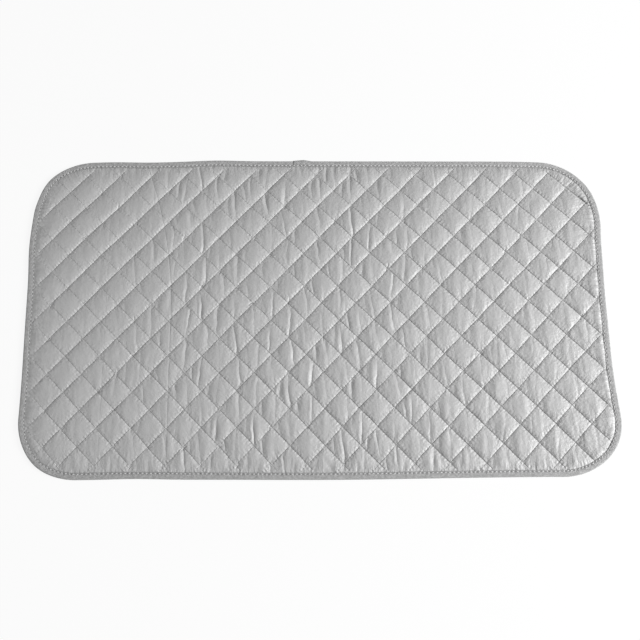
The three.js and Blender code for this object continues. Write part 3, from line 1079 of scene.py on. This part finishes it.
for k in range(len(places)):
    here = k * ring
    ahead = (k + 1) % len(places) * ring
    near_way = ways[k]
    far_way = ways[k] + edge_length / len(places)
    for row in range(ring):
        above = (row + 1) % ring
        tape_faces.append((here + row, ahead + row, ahead + above, here + above))
        low, high = section_way[row : row + 2]
        tape_uv += [(near_way, low), (far_way, low), (far_way, high), (near_way, high)]

TAPE_GREYS = grey(0.34), grey(0.485)
# The dark grey is painted shade for the needle holes, the tape's inner edge and the lap's end.
TAPE_PAINTED_SHADE_GREY = grey(0.1)
TAPE_ROUGHNESS = 0.7
RIB = 1.1 * mm
RIB_BUMP = 0.1 * mm
SPECKLE_SIZE = 4 * mm
SPECKLE_CONTRAST = 2.6
SPECKLE_OFFSET = 0.8
SPECKLE_ROUGHNESS = 0.15
SPECKLE_BUMP = 0.8 * mm
BLOTCH_SIZE = 7 * mm
BLOTCH_LEAST = 0.3
EDGE_SEAM_WAY = TAPE_WIDTH + EDGE_SEAM_INSET + (math.pi - 2) * FOLD_RADIUS
EDGE_SEAM_GROOVE = 1 * mm
GROOVE_DEPTH = 0.4
HOLE_DEPTH = 0.7
HOLE_SHADE = 0.42
INNER_EDGE_WAY = EDGE_SEAM_WAY + TAPE_WIDTH - EDGE_SEAM_INSET
INNER_EDGE_REACH = 0.7 * mm
INNER_EDGE_SHADE = 0.5
LAP_END_REACH = 0.8 * mm
woven_tape, place = new_material("woven_tape", "UV")
along, over = x_and_y(place)
rib_turn = 2 * math.pi / RIB
ribs = place.math("SINE", (along + over) * rib_turn) * place.math("SINE", (along - over) * rib_turn)
speckle = cloth_noise(place, SPECKLE_SIZE, detail=3)
blotches = BLOTCH_LEAST + cloth_noise(place, BLOTCH_SIZE, detail=2)
edge_turn = 2 * math.pi * len(ways) / STATIONS_PER_STITCH / edge_length
between = 0.5 - 0.5 * place.math("COSINE", along * edge_turn)
by_seam = near_line(over, EDGE_SEAM_WAY, EDGE_SEAM_GROOVE)
needle_holes = by_seam * between * between * blotches
inner_edge_painted_shade = near_line(over, INNER_EDGE_WAY, INNER_EDGE_REACH) * blotches
# Painted shade: the needle holes, a strip along the inner edge and the end of the lap are coloured dark
# grey for the shade in them. The holes and the seam's groove are also pressed into the bump.
tape_painted_shade = place.math("MAXIMUM", needle_holes * HOLE_SHADE, inner_edge_painted_shade * INNER_EDGE_SHADE)
tape_painted_shade = place.math("MAXIMUM", tape_painted_shade, near_line(along, lap_end_way, LAP_END_REACH))
strong_speckle = place.node("ShaderNodeClamp", {"Value": speckle * SPECKLE_CONTRAST - SPECKLE_OFFSET})
pressed = bumped(speckle - HOLE_DEPTH * needle_holes - GROOVE_DEPTH * by_seam, SPECKLE_BUMP)
close_material(
    place,
    mixed(tape_painted_shade, mixed(strong_speckle, *TAPE_GREYS), TAPE_PAINTED_SHADE_GREY),
    TAPE_ROUGHNESS + speckle * SPECKLE_ROUGHNESS,
    bumped(ribs, RIB_BUMP, below=pressed),
)
tape = make_piece("binding_tape", tape_points, tape_faces, woven_tape)
tape.data.uv_layers.new(name="along_tape").data.foreach_set("uv", np.array(tape_uv).ravel())
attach(tape, "root")
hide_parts("edge_binding")

# Edge seam
# One row of lockstitch in pale grey thread, sewn through the tape and the layers all round the
# pad, close to the inner edge of the tape.
PALE_THREAD_GREYS = (0.6, 0.7)
PALE_THREAD_ROUGHNESS = 0.5
EDGE_STITCH_LENGTH = 4 * mm
EDGE_STITCH_THICKNESS = 1.1 * mm
EDGE_STITCH_RISE = 0.1 * mm
seat = RIM_TOP - EDGE_DRAWN_DOWN * (1 - flatter) + ripple_lift + in_lap * TAPE_THICKNESS
edge_line = np.column_stack([places - outwards * EDGE_SEAM_INSET, seat + EDGE_STITCH_RISE])
edge_inputs = {
    "Length": EDGE_STITCH_LENGTH,
    "Thickness": EDGE_STITCH_THICKNESS,
    "Thread": thread_material("pale_thread", PALE_THREAD_GREYS, PALE_THREAD_ROUGHNESS),
}
stitch_middles = edge_line[::STATIONS_PER_STITCH]
edge_stitches = sew("binding_stitches", [stitch_middles], edge_inputs, True, ["edge_seam"])

# Floor
# A plain white sheet that the pad lies on. It glows for the camera and in reflections, so it looks
# nearly white, with a faint shadow. The light that it throws onto the pad is only that of paper.
FLOOR_SIZE = 12
FLOOR_GREY = 0.9
FLOOR_GLOW = 0.88
bpy.ops.mesh.primitive_plane_add(size=FLOOR_SIZE)
floor = bpy.context.object
floor.name = "floor"


def seen_directly(start):
    """1 for the camera's rays and in reflections, 0 for the light that falls on things."""
    kinds = ("Camera", "Glossy", "Transmission")
    rays = [start.node("ShaderNodeLightPath", {}, output=f"Is {kind} Ray") for kind in kinds]
    return rays[0] + rays[1] + rays[2]


white_floor, place = new_material("white_floor", "Object")
paper = place.node("ShaderNodeBsdfDiffuse", {"Color": grey(FLOOR_GREY)})
glow = place.node("ShaderNodeEmission", {"Color": grey(1), "Strength": 1})
surface = place.node("ShaderNodeMixShader", {0: seen_directly(place) * FLOOR_GLOW, 1: paper, 2: glow})
place.node("ShaderNodeOutputMaterial", {"Surface": surface})
floor.data.materials.append(white_floor)

# Light
# A softbox at the right, a little to the front, rakes over the quilting. The white room fills in
# from all round, and looks white wherever it is seen.
KEY_PLACE = Vector((2.5, -0.42, 1.2))
KEY_SIZE = 1
KEY_POWER = 100
FILL_STRENGTH = 0.4
lamp = bpy.data.lights.new("key_softbox", "AREA")
lamp.shape = "RECTANGLE"
lamp.size = KEY_SIZE
lamp.size_y = KEY_SIZE
lamp.energy = KEY_POWER
softbox = bpy.data.objects.new("key_softbox", lamp)
softbox.location = KEY_PLACE
softbox.rotation_euler = (-KEY_PLACE).to_track_quat("-Z", "Y").to_euler()
bpy.context.scene.collection.objects.link(softbox)
world = bpy.data.worlds.new("white_room")
world.use_nodes = True
world.node_tree.nodes.clear()
sky = Socket(world.node_tree, None)
fill = sky.node("ShaderNodeBackground", {"Color": grey(1), "Strength": FILL_STRENGTH})
white = sky.node("ShaderNodeBackground", {"Color": grey(1), "Strength": 1})
surface = sky.node("ShaderNodeMixShader", {0: seen_directly(sky), 1: fill, 2: white})
sky.node("ShaderNodeOutputWorld", {"Surface": surface})
bpy.context.scene.world = world

# Camera
# In front of the pad and steeply above it, turned a little, as in the photograph. Lengths on the
# picture are in its pixels.
CAMERA_ELEVATION = math.radians(71.72)
CAMERA_AZIMUTH = math.radians(-5.16)
CAMERA_ROLL = math.radians(-4.74)
CAMERA_DISTANCE = 1.4985
SENSOR_WIDTH = 36
FRAME_PIXELS = 640
FOCAL_PIXELS = 1038.3
CENTRE_PIXELS = (-0.8, -7.55)

back = Vector(
    (
        math.sin(CAMERA_AZIMUTH) * math.cos(CAMERA_ELEVATION),
        -math.cos(CAMERA_AZIMUTH) * math.cos(CAMERA_ELEVATION),
        math.sin(CAMERA_ELEVATION),
    )
)
level = Vector((math.cos(CAMERA_AZIMUTH), math.sin(CAMERA_AZIMUTH), 0))
upright = back.cross(level)
right = math.cos(CAMERA_ROLL) * level - math.sin(CAMERA_ROLL) * upright
up = math.sin(CAMERA_ROLL) * level + math.cos(CAMERA_ROLL) * upright
lens = bpy.data.cameras.new("camera")
lens.sensor_width = SENSOR_WIDTH
lens.lens = SENSOR_WIDTH * FOCAL_PIXELS / FRAME_PIXELS
lens.shift_x = -CENTRE_PIXELS[0] / FRAME_PIXELS
lens.shift_y = CENTRE_PIXELS[1] / FRAME_PIXELS
camera = bpy.data.objects.new("camera", lens)
turned = Matrix((right, up, back)).transposed().to_4x4()
camera.matrix_world = Matrix.Translation(CAMERA_DISTANCE * back) @ turned
bpy.context.scene.collection.objects.link(camera)
bpy.context.scene.camera = camera
bpy.context.scene.view_settings.view_transform = "Standard"
